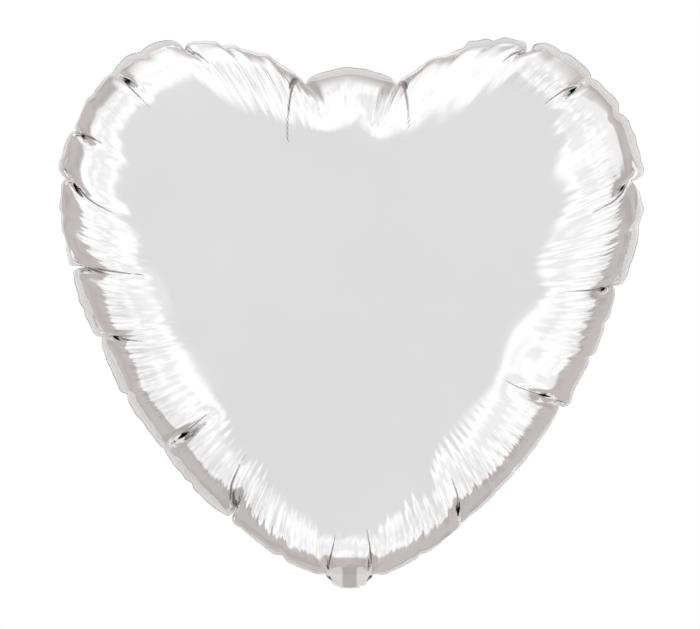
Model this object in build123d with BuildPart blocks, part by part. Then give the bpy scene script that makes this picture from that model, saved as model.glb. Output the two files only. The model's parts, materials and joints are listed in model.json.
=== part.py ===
"""Heart-shaped foil balloon, inflated, with its filling tail folded up behind it.

Two heart-shaped films are welded together round their edges. The welded edge is the seam
flange, and the gas domes the film inside it, so the front and the rear panel each stand on
one face of the flange. At the heart's point the weld leaves a neck open. A flat one-way
valve of two thin films starts in the neck and hangs free inside the balloon. Below the neck
the two films run on as a tail with a filling hole, which folds along the neck's lower edge.

The frame: +X to the heart's right as seen from the front, +Y to the rear, +Z up. The origin
is where the ribbon is tied, on the fold line at the heart's lowest point. Sizes are in mm.
"""

import os
from math import atan2, cos, hypot, radians, sin

from build123d import *

# ---- the whole balloon ----
overall_width = 370  # inflated, over the flange
overall_height = 350  # from the fold line to the top of the lobes
overall_depth = 190  # over the two domes
film = 0.5  # thickness of one panel's film

# ---- the heart's outline, as shares of half the width and of the height ----
# From the middle of the cleft round the right-hand lobe to the point; the left is its mirror.
half_outline = [
    (0.00, 0.942),  # middle of the cleft
    (0.18, 0.934),  # corner of the cleft
    (0.33, 0.975),
    (0.55, 1.000),  # top of the lobe
    (0.77, 0.956),
    (0.945, 0.850),
    (1.000, 0.735),  # widest place
    (0.95, 0.575),
    (0.79, 0.375),
    (0.505, 0.172),
    (0.31, 0.080),
    (0.12, 0.022),
    (0.00, 0.000),  # the point, at the fold line
]
core_height = 0.53 * overall_height  # of the point that the heart's outline is seen from
core_radius = 0.37 * overall_width  # of the round that the dome's top tends to

# ---- the dome ----
flange_width = 6.5  # from the foot of the dome to the film's cut edge
flange_lap = 1.5  # of the flange inside the foot of the dome
dome_height = overall_depth / 2 - film  # above the flange's face
dome_levels = [0, 0.14, 0.32, 0.5, 0.68, 0.84, 0.94, 0.985, 0.998]  # shares of the height
side_power = 0.62  # a pressed-out film rises steeply at the sides
point_power = 0.92  # and like a cone at the point and in the cleft

# ---- the neck and the valve ----
neck_top_width = 34
fold_width = 22
neck_top = 12
neck_bottom = 0.8
channel_width = 18  # left unwelded between the neck's two side seals
channel_top = 16
valve_film = 0.3
valve_gap = 0.3  # between the two valve films when they rest
valve_stem_width = 16
valve_width = 26
valve_shoulder = (20, 32)  # heights between which the stem widens
valve_top = 110
valve_root = 17  # where the valve's rear film is welded to the neck

# ---- the tail ----
tail_lean = 57  # degrees between the folded tail and the plane of the flange
tail_start = 2.3  # from the fold line
tail_flare = 14
tail_width = 30
tail_length = 88
hole_radius = 3.5
hole_place = 30  # from the fold line


def half_ring(inset, level):
    """Half the outline moved in by inset, at a share of the dome's height, as (x, z) points."""
    points = []
    for across, up in half_outline:
        x = across * overall_width / 2
        z = up * overall_height - core_height
        reach = hypot(x, z) - inset
        angle = atan2(z, x)
        power = side_power + (point_power - side_power) * sin(angle) ** 8
        shrink = (1 - level ** (1 / power)) ** (1 / 3)
        roundness = (1 - shrink) ** 1.5
        radius = shrink * reach ** (1 - roundness) * core_radius**roundness
        points.append((radius * cos(angle), core_height + radius * sin(angle)))
    return points


def heart_face(inset=0.0, level=0.0, mode=Mode.ADD):
    """Adds one heart-shaped ring to the sketch being built, as a face."""
    with BuildLine() as ring:
        Spline(*half_ring(inset, level), tangents=[(1, 0), (-1, 0)], tangent_scalars=[1, 1])
        mirror(about=Plane.YZ)
    make_face(ring.edges(), mode=mode)


def neck_outline():
    """The neck as seen from the front, narrowest at the fold line."""
    top, low = neck_top_width / 2, fold_width / 2
    Polygon(
        (-low, neck_bottom), (low, neck_bottom), (top, neck_top), (-top, neck_top), align=None
    )


def dome(inset, mode=Mode.ADD):
    """Lofts a dome that stands on the flange's front face, its foot moved in by inset."""
    rings = []
    for level in dome_levels:
        height = film + level * (dome_height - (inset - flange_width))
        with BuildSketch(Plane.XZ.offset(height)) as ring:
            heart_face(inset, level)
        rings.append(ring.sketch)
    loft(rings, mode=mode)


def seam_flange_part():
    """Both films' borders welded into one band, open only at the neck's channel."""
    with BuildPart() as seam_flange:
        with BuildSketch(Plane.XZ):
            heart_face()
            neck_outline()
            heart_face(inset=flange_width + flange_lap, mode=Mode.SUBTRACT)
            with Locations((0, channel_top)):
                Rectangle(
                    channel_width,
                    2 * channel_top,
                    align=(Align.CENTER, Align.MAX),
                    mode=Mode.SUBTRACT,
                )
        extrude(amount=film, both=True)
    return seam_flange


def front_panel_part():
    """The front film: a thin dome that runs down into the front of the neck."""
    with BuildPart() as front_panel:
        dome(flange_width)
        with BuildSketch(Plane.XZ.offset(film)):
            neck_outline()
        extrude(amount=film)
        dome(flange_width + film, mode=Mode.SUBTRACT)
    return front_panel


def rear_panel_part(front_panel):
    """The rear film, which was cut to the same pattern as the front one."""
    with BuildPart() as rear_panel:
        mirror(front_panel.part, about=Plane.XZ)
    return rear_panel


def valve_outline(bottom):
    """A valve film as seen from the front: a stem that widens to a tongue with round ends."""
    stem, tongue = valve_stem_width / 2, valve_width / 2
    low, high = valve_shoulder
    right = [(stem, bottom), (stem, low), (tongue, high), (tongue, valve_top)]
    left = [(-x, z) for x, z in reversed(right)]
    Polygon(*right, *left, align=None)
    fillet(vertices().sort_by(Axis.Y)[-2:], radius=5)


def valve_front_part():
    """The valve's front film, from the fold line up into the balloon."""
    with BuildPart() as valve_front:
        with BuildSketch(Plane.XZ.offset(valve_gap / 2)):
            valve_outline(neck_bottom)
        extrude(amount=valve_film)
    return valve_front


def valve_rear_part():
    """The valve's rear film, from its weld in the neck up. It parts from the front film."""
    with BuildPart() as valve_rear:
        with BuildSketch(Plane.XZ.offset(-valve_gap / 2)):
            valve_outline(valve_root)
        extrude(amount=-valve_film)
    return valve_rear


def tail_plane():
    """The plane between the tail's films, folded up: its Y runs along the tail."""
    lean = radians(tail_lean)
    return Plane(origin=(0, 0, 0), x_dir=(-1, 0, 0), z_dir=(0, cos(lean), -sin(lean)))


def tail_outline():
    """The tail laid flat, gathered at the fold line and square at its open end."""
    low, wide = fold_width / 2, tail_width / 2
    right = [(low, tail_start), (wide, tail_flare), (wide, tail_length)]
    left = [(-x, y) for x, y in reversed(right)]
    Polygon(*right, *left, align=None)
    fillet(vertices().sort_by(Axis.Y)[-2:], radius=4)


def tail_front_part():
    """The front film's share of the tail, with the filling hole. Folded up, it faces back."""
    with BuildPart() as tail_front:
        with BuildSketch(tail_plane()):
            tail_outline()
            with Locations((0, hole_place)):
                Circle(hole_radius, mode=Mode.SUBTRACT)
        extrude(amount=film)
    return tail_front


def tail_rear_part():
    """The rear film's share of the tail. Folded up, it faces the rear panel."""
    with BuildPart() as tail_rear:
        with BuildSketch(tail_plane()):
            tail_outline()
        extrude(amount=-film)
    return tail_rear


def main():
    front_panel = front_panel_part()
    pieces = {
        "seam_flange": seam_flange_part(),
        "front_panel": front_panel,
        "rear_panel": rear_panel_part(front_panel),
        "valve_front_film": valve_front_part(),
        "valve_rear_film": valve_rear_part(),
        "tail_front_film": tail_front_part(),
        "tail_rear_film": tail_rear_part(),
    }
    os.makedirs("parts", exist_ok=True)
    for name, piece in pieces.items():
        piece.part.label = name
        export_step(piece.part, f"parts/{name}.step")


main()
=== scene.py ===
"""The looks of a heart-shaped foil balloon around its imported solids.

The foil is simulated: a flat heart of film that does not stretch is blown up, which draws its
edge in and gathers it. The result is fitted to the solids' outline and depth, refined, and
given the fine wrinkles that a simulation of this size is too coarse for.
"""

import json
import math

import bpy
import numpy as np
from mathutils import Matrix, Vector, noise
from mathutils.geometry import delaunay_2d_cdt

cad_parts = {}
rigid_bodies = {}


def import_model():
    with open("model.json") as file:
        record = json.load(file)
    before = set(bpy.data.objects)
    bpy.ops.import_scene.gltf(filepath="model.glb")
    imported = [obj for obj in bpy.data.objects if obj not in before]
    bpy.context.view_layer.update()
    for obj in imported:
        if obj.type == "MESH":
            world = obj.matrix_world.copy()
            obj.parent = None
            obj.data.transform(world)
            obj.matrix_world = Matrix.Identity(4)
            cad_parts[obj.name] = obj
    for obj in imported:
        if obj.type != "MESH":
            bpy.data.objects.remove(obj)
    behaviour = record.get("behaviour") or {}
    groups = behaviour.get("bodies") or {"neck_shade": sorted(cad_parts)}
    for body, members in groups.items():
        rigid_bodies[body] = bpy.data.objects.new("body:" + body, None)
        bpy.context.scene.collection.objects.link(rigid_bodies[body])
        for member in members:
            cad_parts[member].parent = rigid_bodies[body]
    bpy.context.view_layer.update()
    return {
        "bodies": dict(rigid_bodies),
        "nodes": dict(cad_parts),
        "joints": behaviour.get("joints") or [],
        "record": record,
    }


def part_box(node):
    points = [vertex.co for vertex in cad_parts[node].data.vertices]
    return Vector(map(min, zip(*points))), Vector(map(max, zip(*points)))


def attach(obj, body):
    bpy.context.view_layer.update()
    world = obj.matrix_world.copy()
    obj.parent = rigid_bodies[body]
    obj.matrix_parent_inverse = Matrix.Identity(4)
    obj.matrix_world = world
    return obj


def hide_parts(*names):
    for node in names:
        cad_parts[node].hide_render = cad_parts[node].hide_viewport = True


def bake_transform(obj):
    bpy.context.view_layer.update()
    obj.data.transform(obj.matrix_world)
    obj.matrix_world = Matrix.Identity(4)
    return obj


MM = 0.001

# ---- the film as it is cut, flat ----
# Half the heart in mm, from the middle of the cleft round one lobe to the point, seen from the
# middle of the heart. It is fuller at the lobes and the point than the blown-up heart is.
PATTERN = [
    (0, 194), (34, 194.5), (72, 203), (118, 204.5), (172.5, 182), (210, 135), (226, 88),
    (223, 20), (190.5, -71), (120, -161), (72, -198), (27, -220), (0, -227.5),
]
FLANGE_WIDTH = 6.5 * MM
# Where the film folds at its edge: degrees round from the right-hand side, how deep the edge
# is drawn in, how long and sharp the crease is, and how far it drifts round as it runs in.
BIG_FOLDS = [
    (98.5, 0.3, 1.5, 0.54), (122, 0.5, 0.4, 0), (136, 1.0, 0.75, 0.05), (150, 0.7, 0.6, -0.1),
    (160, 1.0, 0.9, 0.1), (177, 1.0, 1.1, -0.1), (-168, 0.8, 0.9, 0.08), (-140, 1.0, 1.2, 0),
    (-119, 1.0, 1.0, -0.1), (-96, 0.7, 0.85, 0.15), (-84, 0.7, 0.85, -0.15), (-62, 1.0, 1.0, 0.1),
    (-29, 1.0, 1.2, 0), (-1, 1.0, 0.9, 0.1), (20, 1.1, 0.85, -0.06), (42, 1.0, 0.65, 0.1),
    (56, 0.6, 0.45, 0), (81, 0.3, 1.3, -0.5),
]
SMALL_FOLDS = [
    70, 67, 62, 50, 33, 11, -9, -16, -46, -73, -106, -130, -155, -175, 167, 155, 143, 129,
    115, 109,
]

# ---- the simulation ----
ROUND = 560  # points round the edge
SIM_SCALE = 10.0  # Blender's cloth is tuned for things a few metres across
SIM_FRAMES = 34
SIM_PRESSURE = 4.0
START_GAP = 4 * MM  # from the middle plane to the middle of each film, before it is blown up
BIG_DENT = 4 * MM
SMALL_DENT = 0.2 * MM
DENT_WIDTH = 2.2 * MM
DENT_REACH = 40 * MM  # how far in a fold keeps the two films together
RING_GROWTH = 1.09  # of the step from ring to ring, inward
RING_LIMIT = 9 * MM  # the longest step
HALF_FROM = 40 * MM  # inset where every second point round is left out
QUARTER_FROM = 95 * MM
INNERMOST = 0.10  # the last ring's share of the edge's radius

# ---- the finished film ----
FINE = 4  # fine points to each simulated one
FILM = 0.2 * MM
EDGE_MARGIN = 3 * MM  # between the folded edge of the domes and the solids' outline
CORE_SHARE = 0.53  # of the height, where the middle of the heart is
BILLOW = 3.6 * MM  # how far the edge swells halfway between two folds
BILLOW_FADE = 18 * MM
FLANGE_TRIM = 0.60  # the welded edge's width, as a share of the simulated one
FLANGE_LEAN = 2.9 * MM
NECK_OPENS = 9.5 * MM  # height of the weld at the heart's point
POINT_ANGLE = math.radians(7)  # how far round the point is settled
POINT_FADE = 25 * MM
STRAIGHTENING = 60  # rounds of evening out along the gathers
SHORTEST_WAVE = (8 * MM, 80 * MM)  # left in the film, near the edge and in the taut middle
CORNER_AT = math.radians(47)  # of a lobe, to each side of straight up
CORNER_WIDTH = math.radians(16)
CLEFT_WIDTH = math.radians(9)
CREASE_LENGTH = 68 * MM
CREASE_HALF = 2.4 * MM
CREASE_DEPTH = 0.9 * MM
FINE_WAVE = 0.06 * MM
MIDDLE_WAVE = 0.15 * MM
ROWS_PER_RING = ((75 * MM, 3), (120 * MM, 2), (1, 1))  # up to an inset, how many rows
POINT_SKIPS = ((76 * MM, 1), (115 * MM, 2), (135 * MM, 4), (1, 8))  # and every which point
DRUM = 0.2  # metres, the radius of the round drum that the grain is laid on
GRAIN_STRETCH = 0.05
FLANGE_ROWS = (-0.25, -0.1, 0.05, 0.2, 0.36, 0.52, 0.68, 0.82, 0.92, 1.0)
FLANGE_UNDER = 0.28  # how far the welded edge goes in under the domes, as a share of its width
CRIMP = 0.12 * MM

# ---- the neck and the tail, one strip of each film that folds at the heart's point ----
LEAN = math.radians(57)  # of the folded tail behind the balloon
FOLD_RADIUS = 1.0 * MM
FOLD_TURN = math.pi - LEAN
FOLD_HEIGHT = FOLD_RADIUS * (1 + math.cos(LEAN)) / math.sin(LEAN)
NECK_UP = 12 * MM
TAIL_LENGTH = 88 * MM
NARROWEST = 10.8 * MM  # half the strip's width at its fold
HOLE_AT, HOLE_RADIUS = 30 * MM, 3.5 * MM
CORNER_RADIUS = 4 * MM
TAIL_SPACING = 1.0 * MM  # of its mesh
ROW_RISE = 0.866  # from row to row of a mesh, as a share of its spacing
EDGE_CLEAR = 0.6  # and how far its inner points stay from its edges

# ---- the valve ----
VALVE_FILM = 0.1 * MM
VALVE_SPACING = 1.6 * MM
VALVE_WAVE = 0.12 * MM
VALVE_GAP = 0.32 * MM  # from the middle plane to each film, at the root
VALVE_PARTING = 0.12 * MM  # more than that further up

# ---- the studio ----
FRONT_CARD = 0.80  # strength of the grey card in front
WHITE = (0.94, 1.12)  # and of the white sides, dimmest and brightest
CARD_TALL = -0.45  # how much the card's edge moves back with height
CARD_TURN = 0.08  # and to the left
CARD_WANDER = 0.5  # and how unevenly it runs
FRONT_EDGE = (-0.31, -0.14)  # the Y of a direction where the card ends, with those added
BACK_EDGE = (0.53, 0.59)  # the Y where the back of the room begins
BACK_COLOUR = (0.52, 0.485, 0.475, 1)
PLAIN_WHITE = (1, 1, 1, 1)
SOFTLY = "SMOOTHSTEP"
TOP_EDGE = (0.45, 0.75)  # the Z from which the ceiling is white to the back
FLOOR_HEIGHT = -0.3
FLOOR_RADIUS = 2.0
SENSOR_WIDTH = 36
CAMERA_DISTANCE = 2.4
CAMERA_SIDE, CAMERA_HEIGHT = 0.0003, 0.1742
FRAME_WIDTH = 0.4443  # metres across the picture at the balloon


def wrapped(a):
    """The angle between -pi and pi."""
    return (a + np.pi) % (2 * np.pi) - np.pi


def smooth_loop(points, per_span):
    """A closed Catmull-Rom curve through the points."""
    p = np.array(points, float)
    t = (np.arange(per_span) / per_span)[None, :, None]
    a, b, c, d = (np.roll(p, k, axis=0)[:, None, :] for k in (1, 0, -1, -2))
    curve = 0.5 * (
        2 * b + (c - a) * t + (2 * a - 5 * b + 4 * c - d) * t**2 + (3 * b - a - 3 * c + d) * t**3
    )
    return curve.reshape(-1, 2)


def smoothstep(low, high, x):
    """0 below low, 1 above high, and a smooth rise between."""
    t = np.clip((x - low) / (high - low), 0, 1)
    return t * t * (3 - 2 * t)


def averaged(values, width, far, axis=0):
    """A running average round the edge, weighted by a bell of that width, in points."""
    reach = np.arange(-far, far + 1)
    bell = np.exp(-((reach / width) ** 2))
    return sum(np.roll(values, k, axis=axis) * w for k, w in zip(reach, bell)) / bell.sum()


def polar_table(x, z):
    """Sorted angles and their radii, for np.interp with a period."""
    angle, radius = np.arctan2(z, x), np.hypot(x, z)
    order = np.argsort(angle)
    return angle[order], radius[order]


# ---------------------------------------------------------------- stacks of rings


def ring_faces(outer_start, outer_count, inner_start, inner_count, flip):
    """The faces between two rings. The outer one may have a whole multiple of the points."""
    m = outer_count // inner_count
    faces = []
    for k in range(inner_count):
        a, b = inner_start + k, inner_start + (k + 1) % inner_count
        out = [outer_start + (k * m + q) % outer_count for q in range(m + 1)]
        if m == 1:
            faces.append((out[0], out[1], b, a))
            continue
        half = m // 2
        faces += [(out[q], out[q + 1], a) for q in range(half)]
        faces.append((a, out[half], b))
        faces += [(out[q], out[q + 1], b) for q in range(half, m)]
    return [f[::-1] for f in faces] if flip else faces


def stack_faces(starts, counts, centre, flip):
    """The faces of a stack of rings that ends in one centre point."""
    faces = []
    for j in range(len(starts) - 1):
        faces += ring_faces(starts[j], counts[j], starts[j + 1], counts[j + 1], flip)
    last, n = starts[-1], counts[-1]
    cap = [(last + k, last + (k + 1) % n, centre) for k in range(n)]
    return faces + ([f[::-1] for f in cap] if flip else cap)


def mesh_object(name, vertices, faces):
    """A smooth-shaded object in the scene."""
    mesh = bpy.data.meshes.new(name)
    mesh.from_pydata(np.asarray(vertices).tolist(), [], faces)
    mesh.polygons.foreach_set("use_smooth", [True] * len(faces))
    mesh.validate()
    mesh.update()
    obj = bpy.data.objects.new(name, mesh)
    bpy.context.scene.collection.objects.link(obj)
    return obj


# ---------------------------------------------------------------- blowing up the film


class FlatFilm:
    """The flat pattern as rings of points, every ring a smaller and rounder heart."""

    def __init__(self):
        self.cut()
        self.fold()
        self.fade()
        self.lay_rings()

    def cut(self):
        """The points round the weld, evenly spaced, as angles and radii."""
        half = [(x * MM, z * MM) for x, z in PATTERN]
        loop = smooth_loop(half + [(-x, z) for x, z in half[-2:0:-1]], 80)
        angles, radii = polar_table(loop[:, 0], loop[:, 1])
        dense = np.linspace(-np.pi, np.pi, 20001)[:-1]
        r = np.interp(dense, angles, radii, period=2 * np.pi)
        self.area = 0.5 * np.sum((r - FLANGE_WIDTH) ** 2) * (2 * np.pi / len(dense))
        x, z = r * np.cos(dense), r * np.sin(dense)
        step = np.hypot(np.roll(x, -1) - x, np.roll(z, -1) - z)
        along = np.concatenate([[0], np.cumsum(step)[:-1]])
        self.length = step.sum()
        self.theta = np.interp(np.arange(ROUND) / ROUND * self.length, along, dense)
        self.seam = np.interp(self.theta, angles, radii, period=2 * np.pi) - FLANGE_WIDTH

    def fold(self):
        """Draws the edge in at the folds."""
        folds = [(a, BIG_DENT * w) for a, w, *_ in BIG_FOLDS]
        folds += [(a, SMALL_DENT) for a in SMALL_FOLDS]
        dent = np.zeros(ROUND)
        self.valley = np.zeros(ROUND)
        for degrees, depth in folds:
            away = wrapped(self.theta - math.radians(degrees)) * self.seam
            bell = np.exp(-((away / DENT_WIDTH) ** 2))
            dent += depth * bell
            self.valley = np.maximum(self.valley, bell * depth / BIG_DENT)
        self.rim = self.seam - dent

    def fade(self):
        """How the edge and the gathers vary round the heart."""
        # 0 at a fold and 1 halfway to the next one, as the edge billows between them.
        at = np.sort(np.radians([a for a, *_ in BIG_FOLDS]))
        at = np.concatenate([at[-1:] - 2 * np.pi, at, at[:1] + 2 * np.pi])
        k = np.searchsorted(at, wrapped(self.theta)) - 1
        share = (wrapped(self.theta) - at[k]) / (at[k + 1] - at[k])
        self.billow = np.sqrt(np.clip(4 * share * (1 - share), 0, 1))
        # The gathers die out sooner at the corners of the lobes, where the dome is steepest.
        corner = (np.abs(wrapped(self.theta) - np.pi / 2) - CORNER_AT) / CORNER_WIDTH
        self.hurry = 1 + 0.55 * np.exp(-(corner**2))
        # And they are weaker below the cleft.
        below_cleft = wrapped(self.theta - np.pi / 2) / CLEFT_WIDTH
        self.unrest = 1 - 0.7 * np.exp(-(below_cleft**2))

    def lay_rings(self):
        """How far in from the edge each ring is, in longer and longer steps."""
        inset, step, insets = 0.0, self.length / ROUND, []
        mean = self.rim.mean()
        while 1 - inset / mean > INNERMOST:
            insets.append(inset)
            inset += step
            step = min(step * RING_GROWTH, RING_LIMIT)
        self.insets = np.array(insets)
        self.shares = 1 - self.insets / mean
        self.skips = [4 if i >= QUARTER_FROM else 2 if i >= HALF_FROM else 1 for i in insets]

    def ring(self, j, side):
        """Ring j of the front (side -1) or rear (side 1) film, before it is blown up."""
        pick = slice(None, None, self.skips[j])
        share = self.shares[j]
        roundness = (1 - share) ** 1.5
        r = share * self.rim[pick] ** (1 - roundness) * self.rim.mean() ** roundness
        puff = START_GAP * (1 - share**2) * (
            1 - 0.9 * self.valley[pick] * math.exp(-self.insets[j] / DENT_REACH)
        )
        theta = self.theta[pick]
        return np.stack([r * np.cos(theta), side * puff, r * np.sin(theta)], axis=1)


def filled_in(ring):
    """A ring with the left-out points filled in along a smooth curve."""
    while len(ring) < ROUND:
        p = [np.roll(ring, k, axis=0) for k in (1, 0, -1, -2)]
        between = (9 * (p[1] + p[2]) - p[0] - p[3]) / 16
        ring = np.stack([ring, between], axis=1).reshape(-1, 3)
    return ring


def blow_up(film):
    """Simulates the two films and the welded edge, and returns their points as rings."""
    points, starts, counts = [film.ring(0, -1)], {-1: [0], 1: [0]}, [ROUND]
    total = ROUND
    for side in (-1, 1):
        for j in range(1, len(film.shares)):
            ring = film.ring(j, side)
            points.append(ring)
            starts[side].append(total)
            total += len(ring)
            if side == -1:
                counts.append(len(ring))
    centres = {}
    for side in (-1, 1):
        points.append(np.array([[0, side * START_GAP, 0]]))
        centres[side] = total
        total += 1
    inside = total
    flange_starts = [0]
    for share in (0.5, 1.0):
        r = film.rim + FLANGE_WIDTH * share
        points.append(np.stack([r * np.cos(film.theta), 0 * r, r * np.sin(film.theta)], axis=1))
        flange_starts.append(total)
        total += ROUND
    faces = stack_faces(starts[-1], counts, centres[-1], False)
    faces += stack_faces(starts[1], counts, centres[1], True)
    faces += ring_faces(flange_starts[1], ROUND, 0, ROUND, False)
    faces += ring_faces(flange_starts[2], ROUND, flange_starts[1], ROUND, False)

    co = inflated(np.vstack(points), faces, inside)
    domes = {
        side: np.array(
            [filled_in(co[a : a + n]) for a, n in zip(starts[side], counts)]
            + [np.tile(co[centres[side]], (ROUND, 1))]
        )
        for side in (-1, 1)
    }
    flange = np.array([co[a : a + ROUND] for a in flange_starts])
    return domes, flange


def inflated(points, faces, inside):
    """The points after the simulation. The gas pushes on the first ones, as many as inside."""
    obj = mesh_object("film_in_simulation", points * SIM_SCALE, faces)
    pushed = obj.vertex_groups.new(name="pushed")
    pushed.add(list(range(inside)), 1.0, "REPLACE")
    cloth = obj.modifiers.new("cloth", "CLOTH")
    s = cloth.settings
    s.quality, s.mass, s.air_damping = 8, 0.3, 10
    s.tension_stiffness, s.compression_stiffness, s.shear_stiffness = 80, 80, 20
    s.bending_stiffness, s.bending_damping = 1.0, 0.5
    s.tension_damping = s.compression_damping = s.shear_damping = 5
    s.use_pressure, s.uniform_pressure_force = True, SIM_PRESSURE
    s.vertex_group_pressure = "pushed"
    s.effector_weights.gravity = 0
    cloth.collision_settings.use_collision = False
    frames = SIM_FRAMES
    cloth.point_cache.frame_end = bpy.context.scene.frame_end = frames + 1
    for frame in range(1, frames + 1):
        bpy.context.scene.frame_set(frame)
    shown = obj.evaluated_get(bpy.context.evaluated_depsgraph_get())
    co = np.zeros(len(points) * 3, np.float32)
    shown.data.vertices.foreach_get("co", co)
    bpy.context.scene.frame_set(1)
    mesh = obj.data
    bpy.data.objects.remove(obj)
    bpy.data.meshes.remove(mesh)
    return co.reshape(-1, 3).astype(float) / SIM_SCALE


# ---------------------------------------------------------------- fitting to the solids


def solid_outline(core_z):
    """The flange solid's outer radius at any angle about the middle of the heart."""
    co = np.array([v.co for v in frame["nodes"]["seam_flange"].data.vertices], float)
    x, z = co[:, 0], co[:, 2] - core_z
    angle, radius = np.arctan2(z, x), np.hypot(x, z)
    slot = np.floor((angle + np.pi) / math.radians(3)).astype(int)
    outer = np.array([radius[np.abs(slot - s) <= 1].max() for s in slot])
    keep = radius > outer - 5 * MM
    order = np.argsort(angle[keep])
    return angle[keep][order], radius[keep][order]


def fit_to_solids(domes, flange):
    """Warps the blown-up film gently, so that its outline and depth are the solids'."""
    core_z = CORE_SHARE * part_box("seam_flange")[1].z
    at, cad = solid_outline(core_z)
    grid = np.radians(np.arange(-180, 180, 0.5))
    cad = np.interp(grid, at, cad, period=2 * np.pi)
    seam = flange[0]
    at, radius = polar_table(seam[:, 0], seam[:, 2])
    edge = np.interp(grid, at, radius, period=2 * np.pi)
    edge = averaged(edge, 5, 40)
    factor = (cad - EDGE_MARGIN) / edge

    def fitted(p, y_scale):
        angle, radius = np.arctan2(p[..., 2], p[..., 0]), np.hypot(p[..., 0], p[..., 2])
        f = np.interp(angle, grid, factor, period=2 * np.pi)
        share = radius / np.interp(angle, grid, edge, period=2 * np.pi)
        f = factor.mean() + (f - factor.mean()) * smoothstep(0, 1, share)
        return np.stack([p[..., 0] * f, p[..., 1] * y_scale, core_z + p[..., 2] * f], axis=-1)

    front = -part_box("front_panel")[0].y / np.abs(domes[-1][..., 1]).max()
    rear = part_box("rear_panel")[1].y / np.abs(domes[1][..., 1]).max()
    both = (front + rear) / 2
    return {s: fitted(domes[s], both) for s in (-1, 1)}, fitted(flange, both)


def straighten(rings, insets):
    """Straightens the gathers: what stands off the film's broad shape is evened out inward."""
    broad = averaged(rings, 13, 36, axis=1)
    stands_off = rings - broad
    kept = stands_off.copy()
    for _ in range(STRAIGHTENING):
        even = stands_off.copy()
        even[1:-1] = (stands_off[:-2] + 2 * stands_off[1:-1] + stands_off[2:]) / 4
        stands_off = even
    depth = np.append(insets, insets[-1] + RING_LIMIT)
    share = smoothstep(1 * MM, 9 * MM, depth)[:, None, None]
    rings = broad + kept * (1 - share) + stands_off * share
    # The taut middle has no short waves: the shortest one left grows with the inset.
    shortest = SHORTEST_WAVE[0] + (SHORTEST_WAVE[1] - SHORTEST_WAVE[0]) * smoothstep(
        70 * MM, 130 * MM, depth
    )
    for j, ring in enumerate(rings):
        length = np.linalg.norm(ring - np.roll(ring, 1, axis=0), axis=1).sum()
        waves = np.arange(ROUND // 2 + 1)
        keep = 1 / (1 + (waves * shortest[j] / max(length, MM)) ** 6)
        rings[j] = np.fft.irfft(np.fft.rfft(ring, axis=0) * keep[:, None], ROUND, axis=0)
    return rings


def billowed(rings, insets):
    """Rings that swell between the folds and draw in at them, less so further in."""
    out = (film.billow - film.billow.mean()) * BILLOW
    way = np.stack([np.cos(film.theta), 0 * film.theta, np.sin(film.theta)], axis=1)
    fade = np.exp(-np.asarray(insets) / BILLOW_FADE)
    return rings + fade[:, None, None] * out[None, :, None] * way[None]


def laid_back(rings):
    """The welded edge, trimmed and leaning a little to the rear all round, so that it stands
    clear of both domes, with part of the curl that the simulation gave it."""
    seam = rings[0]
    along = np.roll(seam, -4, axis=0) - np.roll(seam, 4, axis=0)
    outward = np.stack([along[:, 2], 0 * along[:, 0], -along[:, 0]], axis=1)
    outward /= np.linalg.norm(outward, axis=1, keepdims=True)
    laid = [seam]
    for ring, share in ((rings[1], 0.4), (rings[2], 1.0)):
        off = ring - seam
        length = np.linalg.norm(off, axis=1) * FLANGE_TRIM * (0.3 + 0.7 * film.billow)
        back = 0.35 * off[:, 1] + FLANGE_LEAN * share
        back = np.clip(back, -0.9 * length, 0.9 * length)
        off[:, 1] = 0
        off = off / FLANGE_WIDTH + share * outward
        off *= (np.sqrt(length**2 - back**2) / np.linalg.norm(off, axis=1))[:, None]
        off[:, 1] = back
        laid.append(seam + off)
    return np.array(laid)


def settle_point(domes, flange):
    """Lays the edge flat in the middle plane at the heart's point, at the height where the neck
    leaves the weld."""
    away = wrapped(film.theta + math.pi / 2)
    weight = np.exp(-((away / POINT_ANGLE) ** 4))
    lean = weight * flange[0][:, 1]
    rise = weight * (NECK_OPENS - flange[0][:, 2])
    for side in (-1, 1):
        fade = np.exp(-np.append(film.insets, 1) / POINT_FADE)[:, None]
        domes[side][..., 1] -= fade * lean
        domes[side][..., 2] += fade * rise
    flange[..., 1] *= 1 - weight
    flange[..., 2] += rise
    return domes, flange


# ---------------------------------------------------------------- refining


def spline_weights(t):
    return (
        (1 - t) ** 3 / 6,
        (3 * t**3 - 6 * t**2 + 4) / 6,
        (-3 * t**3 + 3 * t**2 + 3 * t + 1) / 6,
        t**3 / 6,
    )


def finer_round(rings):
    """Every ring with FINE times the points, on a smooth closed curve."""
    parts = []
    for k in range(FINE):
        w = spline_weights(k / FINE)
        parts.append(sum(wi * np.roll(rings, 1 - i, axis=1) for i, wi in enumerate(w)))
    return np.stack(parts, axis=2).reshape(rings.shape[0], -1, 3)


def finer_inward(rings, where):
    """Rings at the given fractional ring numbers, on a smooth curve across the rings."""
    first, last = 2 * rings[0] - rings[1], 2 * rings[-1] - rings[-2]
    p = np.concatenate([first[None], rings, last[None], last[None]])
    out = []
    for v in where:
        k = min(int(v), len(rings) - 2)
        w = spline_weights(v - k)
        out.append(sum(wi * p[k + i] for i, wi in enumerate(w)))
    return np.array(out)


def band_noise(rng, count, low, high):
    """Smooth periodic noise along the edge, made of waves low to high to the round."""
    a = 2 * np.pi * np.arange(count) / count
    waves = range(int(low), int(high) + 1)
    total = np.zeros(count)
    for n in waves:
        total += rng.normal() * np.cos(n * a) + rng.normal() * np.sin(n * a)
    return total / math.sqrt(len(waves))


def grid_normals(rows):
    """Unit normals of a grid of rings."""
    round_ = np.roll(rows, -1, axis=1) - np.roll(rows, 1, axis=1)
    inward = np.gradient(rows, axis=0)
    n = np.cross(round_, inward)
    return n / np.maximum(np.linalg.norm(n, axis=2, keepdims=True), 1e-12)


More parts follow.
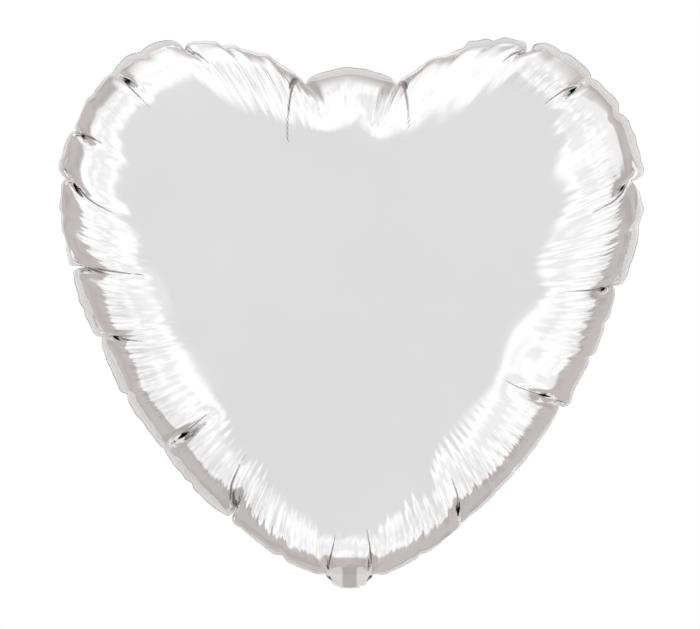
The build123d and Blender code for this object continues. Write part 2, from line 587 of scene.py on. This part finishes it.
def crease_pattern(rng, count, step, inset):
    """How far each fine point moves along its normal for the sharp creases, and how much shade is
    painted into the colour there, from 0 to 1, most in a crease's valley. A crease is a short open
    fold at the edge and a fine line beside it."""
    grooves, crease_shading = np.zeros((len(inset), count)), np.zeros((len(inset), count))
    place = np.arange(count)
    for degrees, _, weight, drift in BIG_FOLDS:
        at = FINE * int(np.argmin(np.abs(wrapped(film.theta - math.radians(degrees)))))
        round_ = ((place - at + count // 2) % count - count // 2) * step
        length = CREASE_LENGTH * weight * rng.uniform(0.9, 1.1)
        side = rng.choice((-1, 1)) * rng.uniform(2.2, 3.2) * MM
        for start, end, offset, half, depth in (
            (0, 0.6 * length, 0, CREASE_HALF, CREASE_DEPTH),
            (0.3 * length, 1.15 * length, side, 0.6 * CREASE_HALF, 0.45 * CREASE_DEPTH),
        ):
            for r, d in enumerate(inset):
                share = (d - start) / (end - start)
                if not 0 < share < 1:
                    continue
                width = half * math.sin(math.pi * share**0.7) ** 0.6 * (1 + 1.3 * abs(drift))
                away = np.abs(round_ - offset - drift * d) / max(width, 1.2 * step)
                valley = 0.5 + 0.5 * np.cos(np.pi * np.clip(away, 0, 1))
                lips = np.exp(-(((away - 1.5) / 0.5) ** 2))
                open_ = math.sin(math.pi * share**0.7) ** 0.5
                grooves[r] += (0.35 * lips - valley) * depth * open_
                # Painted shade: the valley of an open crease is darkened in the colour.
                dark = smoothstep(0.25, 0.7, valley) * smoothstep(0, 0.35, open_)
                crease_shading[r] = np.maximum(crease_shading[r], dark * (1 if offset == 0 else 0.8))
    return grooves, crease_shading


def set_point_attribute(obj, name, kind, values):
    """A value for every point, for the materials to read."""
    attribute = obj.data.attributes.new(name, kind, "POINT")
    key = "vector" if kind == "FLOAT_VECTOR" else "value"
    attribute.data.foreach_set(key, np.asarray(values, np.float32).ravel())


def first_past(inset, steps):
    """The value for this inset, from (up to this inset, value) pairs."""
    return next(value for limit, value in steps if inset <= limit)


def dome_object(name, rings, insets, side, seed):
    """One panel: the simulated film on a fine grid, with the fine radial wrinkles."""
    where, inset = [], []
    for j in range(len(insets)):
        pieces = first_past(insets[j], ROWS_PER_RING)
        for q in range(pieces):
            where.append(j + q / pieces)
            after = insets[j + 1] if j + 1 < len(insets) else insets[j] + RING_LIMIT
            inset.append(insets[j] + (after - insets[j]) * q / pieces)
    rows = finer_inward(finer_round(rings), where)
    inset = np.array(inset)
    count = rows.shape[1]
    rng = np.random.default_rng(seed)
    fine = band_noise(rng, count, 260, 420)
    middle = band_noise(rng, count, 90, 200)
    patches = np.clip(0.75 + 0.5 * band_noise(rng, count, 3, 12), 0.15, 1.5)
    shift = band_noise(rng, count, 2, 9) * 3
    step = float(np.linalg.norm(rows[0] - np.roll(rows[0], 1, axis=0), axis=1).mean())
    grooves, crease_shading = crease_pattern(rng, count, step, inset)
    hurry = np.repeat(film.hurry, FINE)
    patches *= np.repeat(film.unrest, FINE)
    turned = grid_normals(rows)
    if np.sum(turned[:, :, 1] * side) < 0:
        turned = -turned
    for r, d in enumerate(inset):
        start = smoothstep(20 * MM, 42 * MM, d)
        short = start * (1 - smoothstep(34 * MM, 76 * MM, d * hurry + shift * 2 * MM))
        long = start * (1 - smoothstep(52 * MM, 110 * MM, d * hurry + shift * 3 * MM))
        wave = (FINE_WAVE * fine * short + MIDDLE_WAVE * middle * long) * patches
        rows[r] += turned[r] * (wave + grooves[r])[:, None]
    vertices, starts, counts = [], [], []
    total = 0
    for r, d in enumerate(inset):
        ring = rows[r][:: first_past(d, POINT_SKIPS)]
        vertices.append(ring)
        starts.append(total)
        counts.append(len(ring))
        total += len(ring)
    vertices.append(rings[-1][:1])
    obj = mesh_object(name, np.vstack(vertices), stack_faces(starts, counts, total, side > 0))
    # Where a point is on the flat film, as a place on a round drum, so that the grain of the
    # material runs inward from the edge and meets itself where the ring closes.
    grain, gathers_bump_and_shade, painted_crease_shade = [], [], []
    for r, (n, d) in enumerate(zip(counts, inset)):
        # The shade painted into the creases, thinned out like the ring's points.
        painted_crease_shade.append(crease_shading[r][:: count // n])
        a = 2 * np.pi * np.arange(n) / n
        grain.append(
            np.stack([DRUM * np.cos(a), DRUM * np.sin(a), np.full(n, d * GRAIN_STRETCH)], axis=1)
        )
        uneven = patches[:: count // n]
        reach = d * hurry[:: count // n] + 2 * MM * shift[:: count // n]
        # Where the film is gathered: this carries both the fine wrinkles' bump and the streaks of
        # shade painted into the colour.
        gathers_bump_and_shade.append(
            uneven * smoothstep(24 * MM, 44 * MM, d) * (1 - smoothstep(42 * MM, 84 * MM, reach))
        )
    set_point_attribute(obj, "grain", "FLOAT_VECTOR", np.vstack(grain + [[[0, 0, 0]]]))
    set_point_attribute(obj, "gathers_bump_and_shade", "FLOAT", np.concatenate(gathers_bump_and_shade + [[0]]))
    set_point_attribute(obj, "painted_crease_shade", "FLOAT", np.concatenate(painted_crease_shade + [[0]]))
    shell = obj.modifiers.new("film", "SOLIDIFY")
    shell.thickness, shell.offset = FILM, -1
    return obj


def flange_object(rings, seed):
    """The welded edge, a stiff double film, with its crimps."""
    seam, middle, edge = finer_round(rings)
    inside = seam - FLANGE_UNDER * (edge - seam)
    count = len(seam)
    rng = np.random.default_rng(seed)
    crimp = band_noise(rng, count, 150, 330) * CRIMP
    uneven = 1 + 0.05 * band_noise(rng, count, 60, 140)
    rows = []
    for t in FLANGE_ROWS:
        if t < 0:
            row = seam + (inside - seam) * (-t / FLANGE_UNDER)
        else:
            u = t * uneven
            a, b, c = (1 - u) * (1 - 2 * u), 4 * u * (1 - u), u * (2 * u - 1)
            row = seam * a[:, None] + middle * b[:, None] + edge * c[:, None]
        row[:, 1] += crimp * math.sin(math.pi * min(max(t + 0.2, 0), 1) * 0.8)
        rows.append(row)
    starts = [k * count for k in range(len(rows))]
    faces = []
    for k in range(len(rows) - 1):
        faces += ring_faces(starts[k + 1], count, starts[k], count, False)
    obj = mesh_object("edge_flange", np.vstack(rows), faces)
    # A thin line of shade painted along the outer edge, in the last two rows.
    painted_edge_shade = np.zeros((len(rows), count))
    painted_edge_shade[-2:] = np.array([[0.6], [1.0]])
    set_point_attribute(obj, "painted_edge_shade", "FLOAT", painted_edge_shade)
    shell = obj.modifiers.new("film", "SOLIDIFY")
    shell.thickness, shell.offset = 2 * FILM, 0
    return obj


# ---------------------------------------------------------------- sheets with a cut outline


def in_steps(points, spacing):
    """A closed outline cut into steps of about the spacing."""
    out = []
    for a, b in zip(np.array(points), np.roll(points, -1, axis=0)):
        k = max(1, int(round(np.linalg.norm(b - a) / spacing)))
        out += [a + (b - a) * q / k for q in range(k)]
    return out


def within(poly, p):
    """Whether the point is inside the outline."""
    x, y = p
    a, b = poly, np.roll(poly, -1, axis=0)
    crosses = (a[:, 1] > y) != (b[:, 1] > y)
    climb = np.where(b[:, 1] == a[:, 1], 1, b[:, 1] - a[:, 1])
    at = a[:, 0] + (y - a[:, 1]) / climb * (b[:, 0] - a[:, 0])
    return bool(np.sum(crosses & (x < at)) % 2)


def cut_sheet(name, outline, place, spacing, thickness, hole=None, mark=None):
    """A thin closed sheet. outline is its flat edge, and place puts flat points in space."""
    edge = in_steps(outline, spacing)
    points, edges = list(edge), [(i, (i + 1) % len(edge)) for i in range(len(edge))]
    poly = np.array(edge)
    if hole:
        cx, cy, radius = hole
        n = max(24, int(2 * math.pi * radius / spacing))
        first = len(points)
        round_ = [2 * math.pi * k / n for k in range(n)]
        points += [
            np.array([cx + radius * math.cos(a), cy + radius * math.sin(a)]) for a in round_
        ]
        edges += [(first + k, first + (k + 1) % n) for k in range(n)]
    low, high = poly.min(0), poly.max(0)
    rise, clear = ROW_RISE * spacing, EDGE_CLEAR * spacing
    for j in range(1, int((high[1] - low[1]) / rise)):
        y = low[1] + j * rise
        for i in range(1, int((high[0] - low[0]) / spacing) + 1):
            p = np.array([low[0] + (i - 0.5 * (j % 2)) * spacing, y])
            if not within(poly, p) or np.min(np.linalg.norm(poly - p, axis=1)) < clear:
                continue
            if hole and np.hypot(p[0] - cx, p[1] - cy) < radius + clear:
                continue
            points.append(p)
    made = delaunay_2d_cdt([Vector(p) for p in points], edges, [], 1, 1e-9)
    flat, faces = made[0], made[2]
    if hole:
        middles = [sum((flat[i] for i in f), Vector((0, 0))) / 3 for f in faces]
        faces = [
            f for f, m in zip(faces, middles) if math.hypot(m.x - cx, m.y - cy) > radius * 0.98
        ]
    vertices = [place(p.x, p.y) for p in flat]
    obj = mesh_object(name, vertices, [tuple(f) for f in faces])
    if mark:
        # For the tail: its heat seals, and the shade painted in the middle of the neck.
        set_point_attribute(obj, "seal", "FLOAT", [mark(p.x, p.y) for p in flat])
    shell = obj.modifiers.new("film", "SOLIDIFY")
    shell.thickness, shell.offset = thickness, 0
    return obj


def apply_modifiers(obj):
    """Puts the thickness into the mesh."""
    shown = obj.evaluated_get(bpy.context.evaluated_depsgraph_get())
    mesh = bpy.data.meshes.new_from_object(shown)
    old = obj.data
    obj.modifiers.clear()
    obj.data = mesh
    mesh.name = obj.name
    mesh.set_sharp_from_angle(angle=math.radians(70))
    bpy.data.meshes.remove(old)


# ---------------------------------------------------------------- the neck and the tail


def strip_width(v):
    """Half the strip's width at a distance v past the fold."""
    v_mm = v / MM
    if v < 0:
        return NARROWEST + 5.7 * MM * float(smoothstep(0, 13, -v_mm))
    return NARROWEST + 4.2 * MM * float(smoothstep(1, 15, v_mm))


def strip_place(side):
    """Puts the neck and tail strip in space. side is 1 for the front film, -1 for the rear."""
    centre = np.array([FOLD_RADIUS, FOLD_HEIGHT])
    arc = FOLD_RADIUS * FOLD_TURN
    direction = np.array([math.sin(LEAN), math.cos(LEAN)])

    def place(u, v):
        along = v + arc / 2
        if along < 0:
            at, out = np.array([0, FOLD_HEIGHT - along]), np.array([-1.0, 0.0])
        else:
            a = min(along / FOLD_RADIUS, FOLD_TURN)
            out = np.array([-math.cos(a), -math.sin(a)])
            at = centre + FOLD_RADIUS * out + direction * max(0, along - arc)
        across = min(abs(u) / strip_width(v), 1.0)
        x_mm, v_mm = abs(u) / MM, v / MM
        tail = float(smoothstep(2, 26, v_mm))
        neck = float(smoothstep(0, 5, -v_mm))
        seal = float(smoothstep(0.72, 0.8, across))
        lift = 0.13 + (0.75 * (1 - across**2) * tail + 0.25 * (1 - tail)) * (1 - seal * tail)
        lift += 0.7 * neck
        pleat = math.exp(-(((x_mm - 5.4) / 0.8) ** 2))
        pleat += 0.7 * math.exp(-(((x_mm - 9.2) / 0.9) ** 2))
        pleat += 0.16 * math.cos(4.4 * u / MM) * neck if x_mm < 4.5 else 0
        lift += (0.8 if side > 0 else 0.3) * pleat * float(smoothstep(-20, 3, -v_mm))
        ripple = 0.9 * noise.noise((0.07 * u / MM, 0.045 * v_mm, 3.1))
        ripple += 0.16 * noise.noise((0.25 * u / MM, 0.11 * v_mm, 8.4))
        bow = 0.8 * math.sin(math.pi * v / TAIL_LENGTH) if v > 0 else 0
        at = at + out * (side * lift + (ripple - bow) * tail) * MM
        raised = 3.0 * (u / NARROWEST) ** 2 * math.exp(-((v_mm / 7) ** 2)) * MM
        return (u, at[0], at[1] + raised)

    return place


def seals_and_neck_shade(u, v):
    """1 along the tail's heat-sealed sides, and in the middle of the neck at the valve's root,
    where shade is painted.
    """
    sides = smoothstep(0.74, 0.78, abs(u) / strip_width(v)) * smoothstep(4, 9, v / MM)
    # Painted shade in the middle of the neck, above the fold.
    neck_shade = (1 - smoothstep(4.2, 4.9, abs(u) / MM)) * (1 - smoothstep(-1, 1, v / MM))
    return float(max(sides, neck_shade))


def strip_outline(low, high):
    """The strip's flat edge from v = low to v = high, with rounded corners at the open end."""
    top = high - CORNER_RADIUS
    right = [(strip_width(v), v) for v in np.linspace(low, top, 60)]
    side = strip_width(high) - CORNER_RADIUS
    corner = [
        (side + CORNER_RADIUS * math.cos(a), top + CORNER_RADIUS * math.sin(a))
        for a in np.linspace(0, math.pi / 2, 7)[1:]
    ]
    half = right + corner
    return half + [(-x, y) for x, y in reversed(half)]


# ---------------------------------------------------------------- the valve


def valve_place(side):
    """Puts one film of the valve in space, nearly flat, beside the middle plane."""

    def place(u, v):
        wave = math.sin(u / MM * 0.5 + 0.4) * math.sin(v / MM * 0.09) * VALVE_WAVE
        parted = VALVE_PARTING * float(smoothstep(30, 110, v / MM))
        return (u, side * (VALVE_GAP + parted) + wave, v)

    return place


def valve_outline(bottom):
    """One film's edge: a stem from the neck, then the wider flap, from that height up, in mm."""
    right = [(8, bottom), (8, 20), (13, 32), (13, 105), (11.5, 108.5), (8, 110)]
    return [(x * MM, z * MM) for x, z in right + [(-x, z) for x, z in right[::-1]]]


# ---------------------------------------------------------------- materials


class Tree:
    """A node tree, with short calls for the nodes used here."""

    def __init__(self, tree, place):
        self.tree = tree
        self.place = tree.nodes.new("ShaderNodeTexCoord").outputs[place]

    def feed(self, sockets, values):
        """Sets each socket to its number or colour, or links it to its output."""
        for socket, value in zip(sockets, values):
            if isinstance(value, (int, float, tuple)):
                socket.default_value = value
            else:
                self.tree.links.new(value, socket)

    def noise(self, scale, detail, place=None, distortion=0.0):
        node = self.tree.nodes.new("ShaderNodeTexNoise")
        names = ("Vector", "Scale", "Detail", "Distortion")
        values = (place or self.place, scale, detail, distortion)
        self.feed([node.inputs[name] for name in names], values)
        return node.outputs["Fac"]

    def span(self, value, low, high, to_low, to_high, curve="LINEAR"):
        """Maps value from low..high to to_low..to_high, clamped."""
        node = self.tree.nodes.new("ShaderNodeMapRange")
        node.interpolation_type = curve
        names = ("Value", "From Min", "From Max", "To Min", "To Max")
        values = (value, low, high, to_low, to_high)
        self.feed([node.inputs[name] for name in names], values)
        return node.outputs["Result"]

    def maths(self, operation, *values):
        node = self.tree.nodes.new("ShaderNodeMath")
        node.operation = operation
        self.feed(node.inputs, values)
        return node.outputs[0]

    def mixed(self, kind, share, a, b):
        """share of the way from a to b, which are of that kind."""
        node = self.tree.nodes.new("ShaderNodeMix")
        node.data_type = kind
        self.feed([node.inputs[name] for name in ("Factor", "A", "B")], (share, a, b))
        return node.outputs["Result"]


class Paint(Tree):
    """A material around one shader."""

    def __init__(self, name, **same_everywhere):
        self.material = bpy.data.materials.new(name)
        self.material.use_nodes = True
        super().__init__(self.material.node_tree, "Object")
        self.shader = self.tree.nodes["Principled BSDF"].inputs
        for key, number in same_everywhere.items():
            self.shader[key].default_value = number

    def attribute(self, name, output="Fac"):
        node = self.tree.nodes.new("ShaderNodeAttribute")
        node.attribute_name = name
        return node.outputs[output]

    def cells(self, scale):
        node = self.tree.nodes.new("ShaderNodeTexVoronoi")
        self.feed([node.inputs["Vector"], node.inputs["Scale"]], (self.place, scale))
        return node.outputs["Distance"]

    def colours(self, value, *stops):
        """The base colour, from the value and (value, colour) stops."""
        node = self.tree.nodes.new("ShaderNodeValToRGB")
        ramp = node.color_ramp
        while len(ramp.elements) < len(stops):
            ramp.elements.new(0.5)
        for element, (at, colour) in zip(ramp.elements, stops):
            element.position, element.color = at, (*colour, 1)
        links = (value, node.outputs["Color"])
        self.feed((node.inputs["Fac"], self.shader["Base Color"]), links)

    def dimmed(self, amount, colour):
        """Mixes the base colour towards another one by amount."""
        socket = self.shader["Base Color"]
        so_far = socket.links[0].from_socket
        self.tree.links.new(self.mixed("RGBA", amount, so_far, (*colour, 1)), socket)

    def roughness(self, value):
        self.tree.links.new(value, self.shader["Roughness"])

    def bump(self, *layers):
        """Layers of (height, distance in metres, strength), the last on top."""
        normal = None
        for height, distance, strength in layers:
            node = self.tree.nodes.new("ShaderNodeBump")
            names = ("Height", "Distance", "Strength", "Normal")
            values = (height, distance, strength) + ((normal,) if normal else ())
            self.feed([node.inputs[name] for name in names], values)
            normal = node.outputs["Normal"]
        self.tree.links.new(normal, self.shader["Normal"])


def panel_foil():
    """Bright metallised film, with fine bumps and streaks of painted shade where it is gathered,
    and painted shade near black in its creases.
    """
    n = Paint("silver_foil", Metallic=1.0)
    soft = n.noise(9, 4)
    streaks = n.noise(420, 3, n.attribute("grain", "Vector"))
    fine = n.noise(900, 2, n.attribute("grain", "Vector"))
    n.colours(soft, (0.3, (0.895, 0.895, 0.90)), (0.7, (0.935, 0.933, 0.93)))
    bump_and_shade_zone = n.attribute("gathers_bump_and_shade")
    # Painted shade: the fine wrinkles' grey reflections are painted into the colour as darker
    # streaks where the film is gathered.
    n.dimmed(n.maths("MULTIPLY", n.span(streaks, 0.49, 0.55, 0, 1), bump_and_shade_zone), (0.74, 0.74, 0.745))
    # Painted shade: the creases' valleys are painted near black.
    n.dimmed(n.attribute("painted_crease_shade"), (0.07, 0.06, 0.06))
    broad = n.span(n.noise(60, 5), 0.3, 0.7, 0.07, 0.11)
    n.roughness(n.maths("ADD", broad, n.span(fine, 0.3, 0.7, 0, 0.03)))
    n.bump(
        (n.maths("MULTIPLY", streaks, bump_and_shade_zone), 0.24 * MM, 1.0),
        (n.maths("MULTIPLY", fine, bump_and_shade_zone), 0.05 * MM, 1.0),
        (n.noise(5200, 2), 0.002 * MM, 0.6),
    )
    return n.material


def flange_foil():
    """The welded border: paler and rougher, with a thin dark line of painted shade along its outer
    edge.
    """
    n = Paint("welded_silver_foil", Metallic=0.45)
    n.colours(
        n.noise(45, 5),
        (0.3, (0.84, 0.83, 0.825)),
        (0.55, (0.90, 0.89, 0.885)),
        (0.8, (0.93, 0.925, 0.92)),
    )
    # Painted shade: the outer edge is darkened into a thin dark outline.
    n.dimmed(n.attribute("painted_edge_shade"), (0.20, 0.19, 0.19))
    n.roughness(n.span(n.noise(160, 5), 0.3, 0.7, 0.24, 0.42))
    n.bump(
        (n.noise(260, 3), 0.08 * MM, 1.0),
        (n.cells(1500), 0.015 * MM, 0.7),
    )
    return n.material


def tail_foil():
    """The tail's film, duller along its heat seals, with painted shade in the middle of the neck.
    """
    n = Paint("tail_silver_foil", Metallic=1.0)
    # The heat seals along the sides, and the painted shade in the middle of the neck.
    seal = n.attribute("seal")
    n.colours(n.noise(70, 5), (0.3, (0.82, 0.81, 0.805)), (0.7, (0.92, 0.915, 0.91)))
    # Darker along the heat seals, and painted shade in the middle of the neck.
    n.dimmed(seal, (0.60, 0.575, 0.565))
    broad = n.span(n.noise(120, 4), 0.3, 0.7, 0.14, 0.24)
    n.roughness(n.maths("ADD", broad, n.span(seal, 0, 1, 0, 0.16)))
    n.bump(
        (n.noise(170, 4, distortion=0.4), 0.12 * MM, 1.0),
        (n.maths("MULTIPLY", n.cells(1300), seal), 0.03 * MM, 0.8),
        (n.noise(4200, 2), 0.002 * MM, 0.6),
    )
    return n.material


def milky_film():
    """The valve's plastic."""
    n = Paint("clear_valve_film", Alpha=0.55, IOR=1.5)
    n.colours(n.noise(80, 4), (0.3, (0.80, 0.82, 0.82)), (0.7, (0.90, 0.91, 0.90)))
    n.roughness(n.span(n.noise(140, 4), 0.3, 0.7, 0.22, 0.38))
    n.bump((n.noise(220, 4), 0.05 * MM, 1.0), (n.noise(3000, 2), 0.003 * MM, 0.5))
    return n.material


def floor_paint():
    """A pale floor that thins out far from the balloon."""
    n = Paint("pale_floor")
    n.colours(n.noise(14, 6), (0.3, (0.90, 0.90, 0.895)), (0.7, (0.93, 0.93, 0.925)))
    n.roughness(n.span(n.noise(60, 4), 0.3, 0.7, 0.55, 0.7))
    far = n.tree.nodes.new("ShaderNodeVectorMath")
    far.operation = "LENGTH"
    there = n.span(far.outputs["Value"], 0.7, 1.9, 1, 0)
    n.feed((far.inputs[0], n.shader["Alpha"]), (n.place, there))
    n.bump((n.noise(900, 3), 0.05 * MM, 0.4))
    return n.material


# ---------------------------------------------------------------- studio


def studio():
    """The room that the foil mirrors, a pale floor, and the camera."""
    world = bpy.data.worlds.new("studio")
    bpy.context.scene.world = world
    world.use_nodes = True
    n = Tree(world.node_tree, "Generated")
    split = n.tree.nodes.new("ShaderNodeSeparateXYZ")
    n.feed(split.inputs, (n.place,))
    x, y, z = split.outputs
    clouds = n.noise(3.4, 1.5)

    # Brightness by how far back a reflection comes from: the grey card in front, then the white
    # sides. The card is taller than it is wide and stands a little to the left.
    edge = n.maths("MULTIPLY_ADD", n.maths("MULTIPLY", z, z), CARD_TALL, y)
    edge = n.maths("MULTIPLY_ADD", x, CARD_TURN, edge)
    edge = n.maths("MULTIPLY_ADD", clouds, CARD_WANDER, edge)
    white = n.span(clouds, 0.40, 0.56, *WHITE, SOFTLY)
    past_card = n.span(edge, *FRONT_EDGE, 0.0, 1.0, SOFTLY)
    brightness = n.mixed("FLOAT", past_card, FRONT_CARD, white)
    # The back of the room is dimmer and warmer, below its white ceiling.
    behind = n.span(y, *BACK_EDGE, 0.0, 1.0, SOFTLY)
    low = n.span(z, *TOP_EDGE, 1.0, 0.0, SOFTLY)
    colour = n.mixed("RGBA", n.maths("MULTIPLY", behind, low), PLAIN_WHITE, BACK_COLOUR)
    # The backdrop itself is plain white.
    seen = n.tree.nodes.new("ShaderNodeLightPath").outputs["Is Camera Ray"]
    shown = (n.mixed("RGBA", seen, colour, PLAIN_WHITE), n.mixed("FLOAT", seen, brightness, 1.0))
    background = n.tree.nodes["Background"].inputs
    n.feed((background["Color"], background["Strength"]), shown)
    bpy.context.scene.view_settings.view_transform = "Standard"

    bpy.ops.mesh.primitive_circle_add(
        vertices=96, radius=FLOOR_RADIUS, fill_type="NGON", location=(0, 0, FLOOR_HEIGHT)
    )
    floor = bpy.context.object
    floor.name = "floor"
    floor.data.materials.append(floor_paint())
    floor.visible_glossy = False

    camera = bpy.data.objects.new("camera", bpy.data.cameras.new("camera"))
    bpy.context.scene.collection.objects.link(camera)
    camera.data.sensor_width = SENSOR_WIDTH
    camera.data.lens = SENSOR_WIDTH * CAMERA_DISTANCE / FRAME_WIDTH
    camera.location = (CAMERA_SIDE, -CAMERA_DISTANCE, CAMERA_HEIGHT)
    camera.rotation_euler = (math.pi / 2, 0, 0)
    bpy.context.scene.camera = camera


# ---------------------------------------------------------------- making the balloon

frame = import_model()
studio()

film = FlatFilm()
domes, flange_rings = fit_to_solids(*blow_up(film))
domes = {side: billowed(rings, [*film.insets, 1]) for side, rings in domes.items()}
flange_rings = billowed(flange_rings, [0, 0, 0])
domes, flange_rings = settle_point(domes, laid_back(flange_rings))
domes = {side: straighten(rings, film.insets) for side, rings in domes.items()}
foil, welded, tail_look, milky = panel_foil(), flange_foil(), tail_foil(), milky_film()

panels = {
    -1: dome_object("front_foil", domes[-1], film.insets, -1, 11),
    1: dome_object("rear_foil", domes[1], film.insets, 1, 12),
}
flange = flange_object(flange_rings, 13)

tails = {}
for side, name in ((1, "tail_front"), (-1, "tail_rear")):
    tails[side] = cut_sheet(
        name,
        strip_outline(-NECK_UP, TAIL_LENGTH),
        strip_place(side),
        TAIL_SPACING,
        FILM,
        (0, HOLE_AT, HOLE_RADIUS) if side == 1 else None,
        seals_and_neck_shade,
    )

valves = {
    side: cut_sheet(name, valve_outline(bottom), valve_place(side), VALVE_SPACING, VALVE_FILM)
    for side, name, bottom in ((-1, "valve_front", 6), (1, "valve_rear", 17))
}

for obj in (*panels.values(), flange, *tails.values(), *valves.values()):
    apply_modifiers(obj)
for obj in panels.values():
    obj.data.materials.append(foil)
flange.data.materials.append(welded)
for obj in tails.values():
    obj.data.materials.append(tail_look)
for obj in valves.values():
    obj.data.materials.append(milky)

for side, node in ((-1, "front_panel"), (1, "rear_panel")):
    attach(panels[side], "balloon")
    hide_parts(node)
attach(flange, "balloon")
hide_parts("seam_flange")
for side, node in ((1, "tail_front_film"), (-1, "tail_rear_film")):
    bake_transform(tails[side])
    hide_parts(node)
for side, node, body in ((-1, "valve_front_film", "balloon"), (1, "valve_rear_film", "valve_flap")):
    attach(valves[side], body)
    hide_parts(node)
